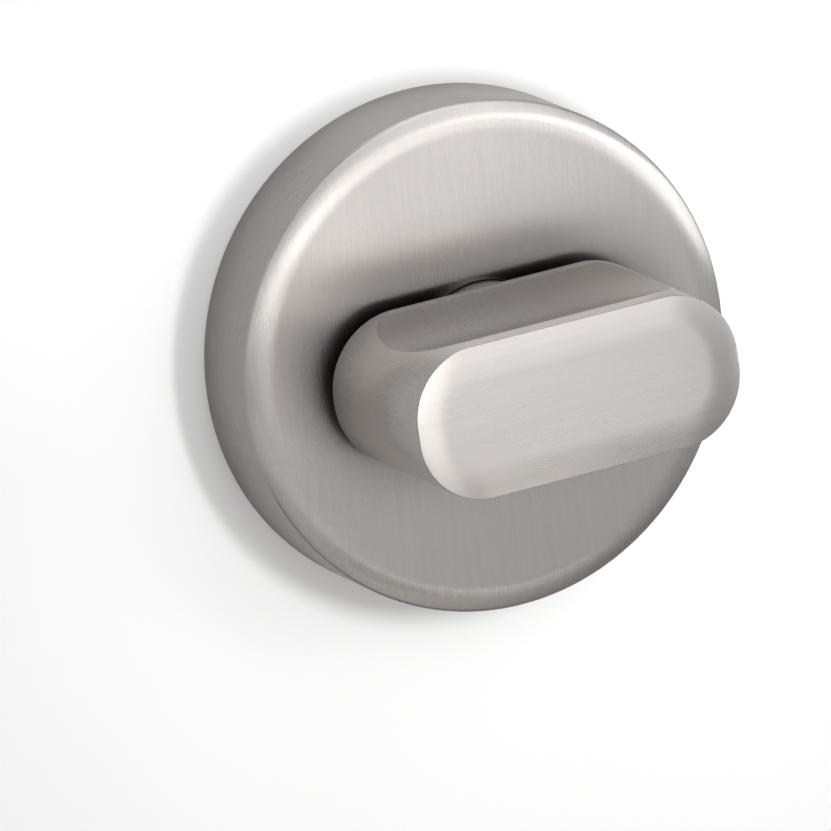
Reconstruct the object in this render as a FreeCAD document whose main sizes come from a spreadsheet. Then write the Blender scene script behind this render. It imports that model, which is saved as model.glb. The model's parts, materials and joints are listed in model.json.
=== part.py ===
import FreeCAD, Part
import math
import os
import re

import Sketcher

# Thumb turn for a bathroom door, on a round rose: the half that faces into the room.
#
# The lock's own frame is millimetres, with +Z up and the origin at the centre of the rose's
# back face, where it meets the door. The turn sticks out towards -Y and the spindle and the
# fixing screws run into the door towards +Y.
#
# Every piece is drawn as a lathe or a mould sees it: X to the right and Y up in the front
# view, and Z as the height above the piece's own seat. Its placement then turns that Z
# towards the room and lifts the seat to its height above the door.

# Driving sizes in millimetres: name, value and what it is.
DRIVING_SIZES = [
    ("rose_diameter", 52.0, "outside diameter of the rose"),
    ("rose_depth", 11.3, "door to the rose's front face"),
    ("cover_wall", 1.2, "sheet that the cover is pressed from"),
    ("cover_roll_width", 3.0, "width of the shallow roll round the face"),
    ("cover_roll_rise", 0.8, "rise of that roll from the crease to the face"),
    ("cover_crease_bevel", 0.3, "bevel that breaks the crease"),
    ("cover_hole_clearance", 0.3, "gap between the neck and the hole in the cover"),
    ("pry_notch_width", 6.0, "notch in the rim for lifting the cover off"),
    ("pry_notch_height", 1.3, "height of that notch"),
    ("head_back", 13.5, "door to the back of the turn's head"),
    ("head_crease", 34.1, "door to the sharp edge round the turn's front"),
    ("head_back_length", 35.8, "length of the head at its back"),
    ("head_back_width", 16.0, "width of the head at its back"),
    ("head_back_corner", 7.6, "corner radius of the head at its back"),
    ("head_draft", 0.42, "how far the head narrows on each side, from its back to its front"),
    ("face_roll_width", 3.6, "width of the soft roll round the front face"),
    ("face_roll_rise", 0.4, "rise of that roll"),
    ("face_shoulder_width", 1.6, "width of the steeper part of the roll"),
    ("face_shoulder_rise", 0.27, "rise of the steeper part of the roll"),
    ("grip_chord", 17.5, "height of the scooped grip, measured from door to room"),
    ("grip_depth", 1.25, "depth of the scooped grip"),
    ("grip_front_lip", 2.1, "land left between the grip and the front edge"),
    ("neck_diameter", 15.6, "turned neck between the head and the rose"),
    ("journal_diameter", 12.0, "turned journal that runs in the bush"),
    ("journal_end", 0.2, "door to the end of the journal"),
    ("journal_chamfer", 0.3, "chamfer on the end of the journal"),
    ("journal_flats", 10.4, "distance across the journal's two flats"),
    ("running_clearance", 0.05, "running fit, radial, and end play under the neck"),
    ("seat_clearance", 0.15, "gap round a piece that is pushed into its seat"),
    ("free_clearance", 0.3, "gap between pieces that pass without guiding each other"),
    ("washer_gap", 0.1, "end play between the stacked rings behind the hub"),
    ("base_rim_wall", 2.2, "wall of the base's rim"),
    ("base_skin", 2.2, "front skin of the base"),
    ("base_chamfer", 1.0, "chamfer round the front of the base"),
    ("base_hub_diameter", 25.0, "outside diameter of the hub"),
    ("base_rear_recess_diameter", 20.6, "recess in the back of the hub"),
    ("base_hub_back", 3.3, "door to the floor of the rear recess"),
    ("base_washer_floor", 6.9, "door to the floor of the front recess"),
    ("base_ring_floor", 8.9, "door to the shelf under the guide ring"),
    ("rib_wall", 1.4, "thickness of the ribs behind the base"),
    ("rib_relief", 0.3, "distance that the ribs stay off the door"),
    ("rib_count", 8, "number of ribs"),
    ("screw_inset", 5.5, "edge of the base to the axis of a fixing screw"),
    ("screw_boss_diameter", 10.8, "boss round each fixing screw"),
    ("screw_hole_diameter", 4.4, "clearance hole for a fixing screw"),
    ("screw_sink_diameter", 8.8, "counterbore for a fixing screw's head"),
    ("lug_diameter", 7.4, "lug that drops into the hole in the door"),
    ("lug_length", 8.0, "reach of the lug into the door"),
    ("screw_thread_diameter", 4.0, "thread of the fixing screws"),
    ("screw_shank_diameter", 3.5, "plain shank under the head"),
    ("screw_head_diameter", 8.0, "pan head"),
    ("screw_head_height", 2.2, "height of the pan head"),
    ("screw_length", 50.0, "length under the head"),
    ("screw_recess_width", 1.0, "width of each slot of the cross recess"),
    ("screw_recess_length", 4.2, "length of each slot of the cross recess"),
    ("screw_recess_depth", 1.4, "depth of the cross recess"),
    ("screw_washer_thickness", 0.5, "washer under each screw head"),
    ("screw_washer_diameter", 8.0, "outside of the washer under each screw head"),
    ("bush_wall", 1.2, "wall of the bearing bush"),
    ("bush_flange_thickness", 0.7, "flange of the bearing bush"),
    ("washer_outside_diameter", 16.6, "bush flange, disc spring and slide washer"),
    ("disc_spring_thickness", 0.25, "sheet of the disc spring"),
    ("disc_spring_rise", 0.4, "rise of the disc spring from its inner to its outer edge"),
    ("slide_washer_thickness", 0.55, "slide washer under the neck"),
    ("guide_ring_wall", 1.4, "ring that guides the neck"),
    ("guide_ring_height", 1.1, "height of the guide ring"),
    ("stop_washer_thickness", 1.0, "washer that stops the turn"),
    ("stop_washer_diameter", 19.6, "outside of the stop washer"),
    ("stop_window_floor", 15.0, "diameter of the stop washer inside its window"),
    ("stop_pin_diameter", 1.6, "pin that the stop washer runs against"),
    ("stop_pin_pitch", 17.5, "diameter that the stop pin stands on"),
    ("stop_pin_seat", 2.2, "depth of the stop pin in the hub"),
    ("stop_pin_clearance", 0.08, "play between the pin and the window's ends"),
    ("ring_thickness", 1.0, "retaining ring"),
    ("ring_groove_diameter", 11.4, "bottom of the groove for the retaining ring"),
    ("ring_outside_diameter", 14.2, "outside of the retaining ring"),
    ("ring_gap", 2.6, "opening of the retaining ring"),
    ("ring_ear_radius", 1.3, "ears of the retaining ring"),
    ("ring_ear_hole_radius", 0.55, "holes for the pliers"),
    ("ring_ear_pitch", 7.2, "distance of the ears from the axis"),
    ("grip_ring_thickness", 0.7, "sprung band that grips the cover's wall"),
    ("grip_ring_height", 3.0, "height of that band"),
    ("grip_ring_opening", 14.0, "opening of that band in degrees"),
    ("spindle_width", 6.0, "square spindle, across its flats"),
    ("spindle_socket_depth", 16.0, "socket for the spindle in the turn"),
    ("spindle_reach", 60.0, "reach of the spindle behind the door face"),
    ("spindle_chamfer", 0.8, "chamfer on the spindle's ends"),
    ("spindle_clearance", 0.06, "gap on each side of the spindle in its socket"),
    ("pin_diameter", 2.0, "sprung pin across the journal"),
    ("pin_wall", 0.45, "rolled sheet of that pin"),
    ("pin_height", 5.1, "door to the middle of that pin"),
    ("pin_clearance", 0.08, "gap round that pin"),
    ("pin_opening", 30.0, "slot along that pin in degrees"),
]

# Heights above the door and radii that several pieces share, as formulas of the sizes.
COVER_RADIUS = "(rose_diameter / 2)"
COVER_INSIDE = "(rose_diameter / 2 - cover_wall)"
COVER_HOLE = "(neck_diameter / 2 + cover_hole_clearance)"
BASE_FRONT = "(rose_depth - cover_wall)"
BASE_RADIUS = "(rose_diameter / 2 - cover_wall - free_clearance)"
BASE_RIM_INSIDE = f"({BASE_RADIUS} - base_rim_wall)"
GRIP_RING_OUTSIDE = f"({COVER_INSIDE} - running_clearance)"
GRIP_RING_INSIDE = f"({GRIP_RING_OUTSIDE} - grip_ring_thickness)"
RIM_STEP_RADIUS = f"({GRIP_RING_INSIDE} - seat_clearance)"
RIM_STEP_HEIGHT = "(grip_ring_height + 2 * seat_clearance)"
BASE_SKIN_BACK = f"({BASE_FRONT} - base_skin)"
HUB_RADIUS = "(base_hub_diameter / 2)"
JOURNAL_RADIUS = "(journal_diameter / 2)"
NECK_RADIUS = "(neck_diameter / 2)"
BUSH_INSIDE = "(journal_diameter / 2 + running_clearance)"
BUSH_OUTSIDE = f"({BUSH_INSIDE} + bush_wall)"
HUB_BORE = f"({BUSH_OUTSIDE} + seat_clearance)"
WASHER_RECESS = "(washer_outside_diameter / 2 + free_clearance)"
WASHER_INSIDE = "(journal_diameter / 2 + free_clearance)"
GUIDE_RING_INSIDE = "(neck_diameter / 2 + running_clearance)"
GUIDE_RING_OUTSIDE = f"({GUIDE_RING_INSIDE} + guide_ring_wall)"
SPRING_SEAT = "(base_washer_floor + bush_flange_thickness)"
SLIDE_WASHER_SEAT = f"({SPRING_SEAT} + disc_spring_thickness + disc_spring_rise)"
NECK_SEAT = f"({SLIDE_WASHER_SEAT} + slide_washer_thickness + running_clearance)"
STOP_WASHER_SEAT = "(base_hub_back - washer_gap - stop_washer_thickness)"
RING_SEAT = f"({STOP_WASHER_SEAT} - washer_gap - ring_thickness)"
SCREW_SEAT = "(base_washer_floor + screw_washer_thickness)"
SCREW_OFFSET = f"({BASE_RADIUS} - screw_inset)"
GRIP_RADIUS = "((grip_chord ^ 2 / 4 + grip_depth ^ 2) / (2 * grip_depth))"
GRIP_MIDDLE = "(head_crease - grip_front_lip - grip_chord / 2)"
SOCKET_HALF = "(spindle_width / 2 + spindle_clearance)"

FACING_THE_ROOM = FreeCAD.Rotation(FreeCAD.Vector(1, 0, 0), 90)
ALIAS_PATTERN = re.compile(r"\b(" + "|".join(name for name, value, note in DRIVING_SIZES) + r")\b")

document = FreeCAD.newDocument("ThumbTurnLock")
sizes = document.addObject("Spreadsheet::Sheet", "Sizes")
pieces = []


def fill_size_sheet():
    """One row for each driving size: its name, its value and what it is."""
    for row, (name, value, note) in enumerate(DRIVING_SIZES, start=1):
        sizes.set(f"A{row}", name)
        sizes.set(f"B{row}", str(value))
        sizes.set(f"C{row}", note)
        sizes.setAlias(f"B{row}", name)
    document.recompute()


def size_of(formula):
    """The number that a formula of the driving sizes gives now."""
    return float(sizes.evalExpression(str(formula)))


def bind(thing, path, formula):
    """Tie a property of a feature to a formula of the driving sizes."""
    thing.setExpression(path, ALIAS_PATTERN.sub(r"Sizes.\1", str(formula)))


def add_piece(piece, label, height=0, across=0):
    """Name a piece, face it to the room and lift its seat to a height above the door."""
    piece.Label = label
    piece.Placement = FreeCAD.Placement(FreeCAD.Vector(0, 0, 0), FACING_THE_ROOM)
    bind(piece, "Placement.Base.x", f"1 * ({across})")
    bind(piece, "Placement.Base.y", f"-1 * ({height})")
    pieces.append(piece)


def new_body(label, height=0, across=0):
    """A body for a piece that is built up from sketches."""
    body = document.addObject("PartDesign::Body", label)
    add_piece(body, label, height, across)
    return body


def new_sketch(body, name, role, height=None):
    """A sketch on one of the body's own planes, lifted along that plane's normal."""
    sketch = body.newObject("Sketcher::SketchObject", f"{body.Name}_{name}")
    plane = next(item for item in body.Origin.OriginFeatures if item.Role == role)
    sketch.AttachmentSupport = [(plane, "")]
    sketch.MapMode = "FlatFace"
    if height is not None:
        bind(sketch, "AttachmentOffset.Base.z", f"1 * ({height})")
    return sketch


def fix_point(sketch, edge, end, across, up):
    """Hold one end of an edge, or a circle's centre, at formulas of the sizes."""
    for kind, formula in (("DistanceX", across), ("DistanceY", up)):
        index = sketch.addConstraint(Sketcher.Constraint(kind, edge, end, size_of(formula)))
        bind(sketch, f"Constraints[{index}]", f"1 * ({formula})")


def fix_radius(sketch, edge, radius):
    """Hold the radius of an arc or a circle at a formula of the sizes."""
    index = sketch.addConstraint(Sketcher.Constraint("Radius", edge, size_of(radius)))
    bind(sketch, f"Constraints[{index}]", radius)


def arc_between(start, end, radius, turn):
    """The shorter arc between two points, turning left (+1) or right (-1) on its way."""
    chord = end - start
    sagitta = radius - math.sqrt(max(radius ** 2 - (chord.Length / 2) ** 2, 0))
    outward = FreeCAD.Vector(chord.y, -chord.x, 0).normalize() * turn
    return Part.Arc(start, (start + end) / 2 + outward * sagitta, end)


def draw_outline(sketch, corners, arcs=None):
    """A closed outline through the corners, each a pair of formulas.

    arcs gives, for the side that leaves a corner, its radius and which way it turns.
    """
    arcs = arcs or {}
    points = [FreeCAD.Vector(size_of(across), size_of(up), 0) for across, up in corners]
    first = sketch.GeometryCount
    for index, start in enumerate(points):
        end = points[(index + 1) % len(points)]
        if index in arcs:
            radius, turn = arcs[index]
            sketch.addGeometry(arc_between(start, end, size_of(radius), turn), False)
        else:
            sketch.addGeometry(Part.LineSegment(start, end), False)
    for index, (across, up) in enumerate(corners):
        start_end = start_of_edge(sketch, first + index, points[index])
        finish_end = 3 - start_end
        following = first + (index + 1) % len(points)
        next_start = start_of_edge(sketch, following, points[(index + 1) % len(points)])
        sketch.addConstraint(
            Sketcher.Constraint("Coincident", first + index, finish_end, following, next_start)
        )
        fix_point(sketch, first + index, start_end, across, up)
    for index, (radius, turn) in arcs.items():
        fix_radius(sketch, first + index, radius)


def start_of_edge(sketch, edge, point):
    """Which end of an edge lies at the point: an arc is stored turning left."""
    return 1 if sketch.getPoint(edge, 1).distanceToPoint(point) < 1e-6 else 2


def draw_circle(sketch, across, up, radius):
    """A circle with its centre and radius tied to the sizes."""
    centre = FreeCAD.Vector(size_of(across), size_of(up), 0)
    circle = Part.Circle(centre, FreeCAD.Vector(0, 0, 1), size_of(radius))
    edge = sketch.addGeometry(circle, False)
    fix_point(sketch, edge, 3, across, up)
    fix_radius(sketch, edge, radius)


def draw_box(sketch, left, bottom, right, top):
    """A rectangle between two corners."""
    draw_outline(sketch, [(left, bottom), (right, bottom), (right, top), (left, top)])


def draw_rounded_box(sketch, length, width, corner):
    """A rectangle with round corners, centred on the axis."""
    half_x, half_y = f"({length}) / 2", f"({width}) / 2"
    flat_x, flat_y = f"({half_x} - ({corner}))", f"({half_y} - ({corner}))"
    corners = [
        (f"-1 * {flat_x}", f"-1 * {half_y}"),
        (flat_x, f"-1 * {half_y}"),
        (half_x, f"-1 * {flat_y}"),
        (half_x, flat_y),
        (flat_x, half_y),
        (f"-1 * {flat_x}", half_y),
        (f"-1 * {half_x}", flat_y),
        (f"-1 * {half_x}", f"-1 * {flat_y}"),
    ]
    draw_outline(sketch, corners, {side: (corner, 1) for side in (1, 3, 5, 7)})


def add_feature(body, kind, name, sketch):
    """A feature of the body that takes its profile from a sketch."""
    feature = body.newObject(f"PartDesign::{kind}", f"{body.Name}_{name}")
    feature.Profile = (sketch, [])
    sketch.Visibility = False
    return feature


def turn_profile(body, name, corners, kind="Revolution", opening=None):
    """Turn a profile, as radius and height, about the piece's axis, whole or with an opening."""
    sketch = new_sketch(body, f"{name}_profile", "XZ_Plane")
    draw_outline(sketch, corners)
    feature = add_feature(body, kind, name, sketch)
    feature.ReferenceAxis = (sketch, ["V_Axis"])
    feature.Angle = 360
    if opening is not None:
        bind(feature, "Angle", f"360 - {opening}")
    document.recompute()
    return feature


def pad(body, name, sketch, length, reverse=False):
    """Raise a sketch by a length."""
    feature = add_feature(body, "Pad", name, sketch)
    feature.Reversed = reverse
    bind(feature, "Length", length)
    document.recompute()
    return feature


def pocket(body, name, sketch, depth=None, towards_room=False):
    """Cut a sketch into the body: towards the door, towards the room, or right through."""
    before = body.Shape.Volume
    feature = add_feature(body, "Pocket", name, sketch)
    if depth is None:
        feature.Type = "ThroughAll"
        feature.Midplane = True
    else:
        feature.Reversed = towards_room
        bind(feature, "Length", depth)
    document.recompute()
    if body.Shape.Volume >= before:
        raise RuntimeError(f"{feature.Name} cuts nothing")
    return feature


def repeat_round_axis(body, name, feature, count):
    """Copies of a feature, evenly spaced round the piece's axis."""
    pattern = body.newObject("PartDesign::PolarPattern", f"{body.Name}_{name}")
    pattern.Originals = [feature]
    axis = next(item for item in body.Origin.OriginFeatures if item.Role == "Z_Axis")
    pattern.Axis = (axis, [""])
    pattern.Angle = 360
    bind(pattern, "Occurrences", count)
    body.Tip = pattern
    document.recompute()
    return pattern


def circle_edges(shape, radius, height):
    """Names of the round edges that have this radius and lie at this height."""
    names = []
    for index, edge in enumerate(shape.Edges, start=1):
        curve = edge.Curve
        if not isinstance(curve, Part.Circle):
            continue
        if abs(curve.Radius - size_of(radius)) < 1e-4 and abs(curve.Center.z - size_of(height)) < 1e-4:
            names.append(f"Edge{index}")
    return names


def bevel_edges(body, name, names, amount):
    """Chamfer the named edges of the last feature."""
    base = body.Tip
    feature = body.newObject("PartDesign::Chamfer", f"{body.Name}_{name}")
    feature.Base = (base, names)
    bind(feature, "Size", amount)
    document.recompute()
    return feature


def cover_roll_point(share):
    """A point of the cover's roll, this share of its width out from the flat face."""
    radius = "((cover_roll_width ^ 2 + cover_roll_rise ^ 2) / (2 * cover_roll_rise))"
    out = f"({share} * cover_roll_width)"
    fall = f"({radius} - sqrt({radius} ^ 2 - {out} ^ 2))"
    return f"{COVER_RADIUS} - cover_roll_width + {out}", f"rose_depth - {fall}"


def make_rose_cover():
    """Pressed cup: straight side, crisp crease, shallow roll into the flat face."""
    body = new_body("rose_cover")
    crease = "(rose_depth - cover_roll_rise)"
    corners = [
        (COVER_INSIDE, "0"),
        (COVER_RADIUS, "0"),
        (COVER_RADIUS, crease),
        cover_roll_point("2 / 3"),
        cover_roll_point("1 / 3"),
        (f"{COVER_RADIUS} - cover_roll_width", "rose_depth"),
        (COVER_HOLE, "rose_depth"),
        (COVER_HOLE, BASE_FRONT),
        (COVER_INSIDE, BASE_FRONT),
    ]
    cup = turn_profile(body, "cup", corners)
    crease_edges = circle_edges(cup.Shape, COVER_RADIUS, crease)
    bevel_edges(body, "crease", crease_edges, "cover_crease_bevel")

    notch = new_sketch(body, "pry_notch_outline", "XY_Plane")
    half = "pry_notch_width / 2"
    draw_box(notch, f"-{half}", f"-{COVER_RADIUS} - 1", half, f"-{COVER_RADIUS} + 2 * cover_wall")
    pocket(body, "pry_notch", notch, "pry_notch_height", towards_room=True)


def make_rose_base():
    """Moulded base: hub, front skin and rim, with ribs, screw bosses and lugs behind."""
    body = new_body("rose_base")
    ring_recess = f"({GUIDE_RING_OUTSIDE} + seat_clearance)"
    rear_recess = "base_rear_recess_diameter / 2"
    corners = [
        (HUB_BORE, "base_hub_back"),
        (HUB_BORE, "base_washer_floor"),
        (WASHER_RECESS, "base_washer_floor"),
        (WASHER_RECESS, "base_ring_floor"),
        (ring_recess, "base_ring_floor"),
        (ring_recess, BASE_FRONT),
        (f"{BASE_RADIUS} - base_chamfer", BASE_FRONT),
        (BASE_RADIUS, f"{BASE_FRONT} - base_chamfer"),
        (BASE_RADIUS, "0"),
        (BASE_RIM_INSIDE, "0"),
        (BASE_RIM_INSIDE, BASE_SKIN_BACK),
        (HUB_RADIUS, BASE_SKIN_BACK),
        (HUB_RADIUS, "0"),
        (rear_recess, "0"),
        (rear_recess, "base_hub_back"),
    ]
    turn_profile(body, "moulding", corners)

    # The first rib stands half a step from the screw bosses, so the ribs pass them by.
    rib = new_sketch(body, "rib_outline", "XY_Plane", height="rib_relief")
    inner, outer = f"{HUB_RADIUS} - rib_wall / 2", f"{BASE_RIM_INSIDE} + rib_wall / 2"
    draw_box(rib, inner, "-rib_wall / 2", outer, "rib_wall / 2")
    bind(rib, "AttachmentOffset.Rotation.Angle", "180 / rib_count")
    first_rib = pad(body, "rib", rib, f"{BASE_SKIN_BACK} - rib_relief + base_skin / 2")
    repeat_round_axis(body, "ribs", first_rib, "rib_count")

    features = [
        ("screw_boss", "screw_boss_diameter", "0", f"{BASE_SKIN_BACK} + base_skin / 2", False),
        ("lug", "lug_diameter", "0", "lug_length", True),
    ]
    for name, diameter, height, length, behind in features:
        sketch = new_sketch(body, f"{name}_outline", "XY_Plane", height=height)
        for side in (-1, 1):
            draw_circle(sketch, f"{side} * {SCREW_OFFSET}", "0", f"{diameter} / 2")
        pad(body, name, sketch, length, reverse=behind)

    holes = new_sketch(body, "screw_holes_outline", "XY_Plane")
    sinks = new_sketch(body, "screw_sinks_outline", "XY_Plane", height=BASE_FRONT)
    for side in (-1, 1):
        draw_circle(holes, f"{side} * {SCREW_OFFSET}", "0", "screw_hole_diameter / 2")
        draw_circle(sinks, f"{side} * {SCREW_OFFSET}", "0", "screw_sink_diameter / 2")
    pocket(body, "screw_holes", holes)
    pocket(body, "screw_sinks", sinks, f"{BASE_FRONT} - base_washer_floor")

    # The rim is stepped back at its foot, to make room for the ring that grips the cover.
    outside = f"{BASE_RADIUS} + 1"
    corners = [
        (RIM_STEP_RADIUS, "-1"),
        (outside, "-1"),
        (outside, RIM_STEP_HEIGHT),
        (RIM_STEP_RADIUS, RIM_STEP_HEIGHT),
    ]
    turn_profile(body, "rim_step", corners, kind="Groove")

    pin_hole = new_sketch(body, "stop_pin_hole_outline", "XY_Plane", height="base_hub_back")
    draw_circle(pin_hole, "stop_pin_pitch / 2", "0", "stop_pin_diameter / 2 + running_clearance")
    pocket(body, "stop_pin_hole", pin_hole, "stop_pin_seat + running_clearance", towards_room=True)


def make_thumb_turn():
    """Solid turn: drafted head with round ends, scooped grips, neck and journal."""
    body = new_body("thumb_turn")
    # The front face swells softly inside its sharp edge, in two bands.
    sections = [
        ("head_back", "0", "head_back"),
        ("head_edge", "head_draft", "head_crease"),
        ("face_shoulder", "head_draft + face_shoulder_width", "head_crease + face_shoulder_rise"),
        ("face_top", "head_draft + face_roll_width", "head_crease + face_roll_rise"),
    ]
    outlines = []
    for name, inset, height in sections:
        sketch = new_sketch(body, f"{name}_outline", "XY_Plane", height=height)
        draw_rounded_box(
            sketch,
            f"head_back_length - 2 * ({inset})",
            f"head_back_width - 2 * ({inset})",
            f"head_back_corner - ({inset})",
        )
        outlines.append(sketch)
    document.recompute()
    head = add_feature(body, "AdditiveLoft", "head", outlines[0])
    head.Sections = outlines[1:]
    head.Ruled = True
    document.recompute()

    # Each long side is scooped by a wide cylinder that lies along the head.
    grips = new_sketch(body, "grips_section", "YZ_Plane")
    half_width = "(head_back_width - head_draft) / 2"
    for side in (-1, 1):
        across = f"{side} * ({half_width} + {GRIP_RADIUS} - grip_depth)"
        draw_circle(grips, across, GRIP_MIDDLE, GRIP_RADIUS)
    pocket(body, "grips", grips)

    # Neck, journal and the groove for the retaining ring are turned in one setting.
    groove_radius = "ring_groove_diameter / 2"
    groove_top = f"({RING_SEAT} + ring_thickness + running_clearance)"
    groove_bottom = f"({RING_SEAT} - running_clearance)"
    corners = [
        ("0", "journal_end"),
        (f"{JOURNAL_RADIUS} - journal_chamfer", "journal_end"),
        (JOURNAL_RADIUS, "journal_end + journal_chamfer"),
        (JOURNAL_RADIUS, groove_bottom),
        (groove_radius, groove_bottom),
        (groove_radius, groove_top),
        (JOURNAL_RADIUS, groove_top),
        (JOURNAL_RADIUS, NECK_SEAT),
        (NECK_RADIUS, NECK_SEAT),
        (NECK_RADIUS, "head_back + 0.5"),
        ("0", "head_back + 0.5"),
    ]
    turn_profile(body, "stem", corners)

    flats = new_sketch(body, "journal_flats_outline", "XY_Plane", height="journal_end")
    flat, clear = "journal_flats / 2", "journal_diameter"
    draw_box(flats, f"-{clear}", flat, clear, clear)
    draw_box(flats, f"-{clear}", f"-{clear}", clear, f"-{flat}")
    flats_top = f"({STOP_WASHER_SEAT} + stop_washer_thickness + running_clearance)"
    pocket(body, "journal_flats", flats, f"{flats_top} - journal_end", towards_room=True)

    socket = new_sketch(body, "spindle_socket_outline", "XY_Plane", height="journal_end")
    draw_box(socket, f"-{SOCKET_HALF}", f"-{SOCKET_HALF}", SOCKET_HALF, SOCKET_HALF)
    pocket(body, "spindle_socket", socket, "spindle_socket_depth", towards_room=True)

    cross_hole = new_sketch(body, "pin_hole_section", "YZ_Plane")
    draw_circle(cross_hole, "0", "pin_height", "pin_diameter / 2 + pin_clearance")
    pocket(body, "pin_hole", cross_hole)


def make_turned_rings():
    """Plain and flanged rings that are turned or moulded from one profile each."""
    bush = new_body("bearing_bush", height="base_hub_back")
    floor = "base_washer_floor - base_hub_back"
    corners = [
        (BUSH_INSIDE, "0"),
        (BUSH_OUTSIDE, "0"),
        (BUSH_OUTSIDE, floor),
        ("washer_outside_diameter / 2", floor),
        ("washer_outside_diameter / 2", f"{floor} + bush_flange_thickness"),
        (BUSH_INSIDE, f"{floor} + bush_flange_thickness"),
    ]
    turn_profile(bush, "bush", corners)

    rings = [
        ("slide_washer", SLIDE_WASHER_SEAT, WASHER_INSIDE, "washer_outside_diameter / 2",
         "slide_washer_thickness"),
        ("neck_guide_ring", "base_ring_floor", GUIDE_RING_INSIDE, GUIDE_RING_OUTSIDE,
         "guide_ring_height"),
    ]
    for name, height, inside, outside, thickness in rings:
        ring = new_body(name, height=height)
        corners = [(inside, "0"), (outside, "0"), (outside, thickness), (inside, thickness)]
        turn_profile(ring, "ring", corners)


def make_disc_spring():
    """Shallow conical washer that presses the turn's shoulder outwards, for its friction."""
    body = new_body("disc_spring", height=SPRING_SEAT)
    outside, thickness = "washer_outside_diameter / 2", "disc_spring_thickness"
    corners = [
        (WASHER_INSIDE, "disc_spring_rise"),
        (outside, "0"),
        (outside, thickness),
        (WASHER_INSIDE, f"disc_spring_rise + {thickness}"),
    ]
    turn_profile(body, "disc", corners)


def make_stop_washer():
    """Washer on the journal's flats, cut away over the quarter turn that the pin allows."""
    body = new_body("stop_washer", height=STOP_WASHER_SEAT)
    disc = new_sketch(body, "disc_outline", "XY_Plane")
    draw_circle(disc, "0", "0", "stop_washer_diameter / 2")
    pad(body, "disc", disc, "stop_washer_thickness")

    bore = new_sketch(body, "bore_outline", "XY_Plane")
    radius = f"({JOURNAL_RADIUS} + pin_clearance)"
    flat = "(journal_flats / 2 + pin_clearance)"
    side = f"sqrt({radius} ^ 2 - {flat} ^ 2)"
    corners = [
        (f"-1 * {side}", f"-1 * {flat}"),
        (side, f"-1 * {flat}"),
        (side, flat),
        (f"-1 * {side}", flat),
    ]
    draw_outline(bore, corners, {1: (radius, 1), 3: (radius, 1)})
    pocket(body, "bore", bore)

    # The window's two ends stand square to each other, each clear of the pin by the play.
    window = new_sketch(body, "window_outline", "XY_Plane")
    floor = "(stop_window_floor / 2)"
    play = "(stop_pin_diameter / 2 + stop_pin_clearance)"
    along = f"sqrt({floor} ^ 2 - {play} ^ 2)"
    corners = [
        (along, f"-1 * {play}"),
        ("stop_washer_diameter", f"-1 * {play}"),
        ("stop_washer_diameter", "stop_washer_diameter"),
        (f"-1 * {play}", "stop_washer_diameter"),
        (f"-1 * {play}", along),
    ]
    draw_outline(window, corners, {4: (floor, -1)})
    pocket(body, "window", window)


def make_stop_pin():
    """Pin that stands in the back of the hub and stops the turn."""
    foot = "(base_hub_back - washer_gap - stop_washer_thickness)"
    body = new_body("stop_pin", height=foot, across="stop_pin_pitch / 2")
    length = f"(base_hub_back + stop_pin_seat - {foot})"
    radius, chamfer = "stop_pin_diameter / 2", "stop_pin_diameter / 8"
    corners = [
        ("0", "0"),
        (f"{radius} - {chamfer}", "0"),
        (radius, chamfer),
        (radius, length),
        ("0", length),
    ]
    turn_profile(body, "pin", corners)


def make_retaining_ring():
    """Sprung ring in the journal's groove, with two ears for the pliers."""
    body = new_body("retaining_ring", height=RING_SEAT)
    ring = new_sketch(body, "ring_outline", "XY_Plane")
    draw_circle(ring, "0", "0", "ring_outside_diameter / 2")
    draw_circle(ring, "0", "0", "ring_groove_diameter / 2 + running_clearance")
    pad(body, "ring", ring, "ring_thickness")

    across = "(ring_gap / 2 + ring_ear_radius)"
    up = f"-1 * sqrt(ring_ear_pitch ^ 2 - {across} ^ 2)"
    for side in (-1, 1):
        ear = new_sketch(body, f"ear_{side + 1}_outline", "XY_Plane")
        draw_circle(ear, f"{side} * {across}", up, "ring_ear_radius")
        pad(body, f"ear_{side + 1}", ear, "ring_thickness")

    cuts = new_sketch(body, "gap_outline", "XY_Plane")
    draw_box(cuts, "-ring_gap / 2", "-2 * ring_ear_pitch", "ring_gap / 2", "0")
    for side in (-1, 1):
        draw_circle(cuts, f"{side} * {across}", up, "ring_ear_hole_radius")
    pocket(body, "gap", cuts)


def make_cover_grip_ring():
    """Open sprung band that stands in the step of the base and presses on the cover's wall."""
    body = new_body("cover_grip_ring", height="seat_clearance")
    corners = [
        (GRIP_RING_INSIDE, "0"),
        (GRIP_RING_OUTSIDE, "0"),
        (GRIP_RING_OUTSIDE, "grip_ring_height"),
        (GRIP_RING_INSIDE, "grip_ring_height"),
    ]
    turn_profile(body, "band", corners, opening="grip_ring_opening")


def make_spindle():
    """Square bar that carries the turn through the lock case to the far side."""
    foot = "(-1 * spindle_reach)"
    body = new_body("spindle", height=foot)
    length = "(spindle_reach + journal_end + spindle_socket_depth - running_clearance)"
    bar = new_sketch(body, "bar_outline", "XY_Plane")
    half = "spindle_width / 2"
    draw_box(bar, f"-{half}", f"-{half}", half, half)
    stock = pad(body, "bar", bar, length)
    ends = []
    for index, edge in enumerate(stock.Shape.Edges, start=1):
        if abs(edge.BoundBox.ZLength) < 1e-6:
            ends.append(f"Edge{index}")
    bevel_edges(body, "end_chamfers", ends, "spindle_chamfer")

    cross_hole = new_sketch(body, "pin_hole_section", "YZ_Plane")
    pin_station = "(spindle_reach + pin_height)"
    draw_circle(cross_hole, "0", pin_station, "pin_diameter / 2 + pin_clearance")
    pocket(body, "pin_hole", cross_hole)


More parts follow.
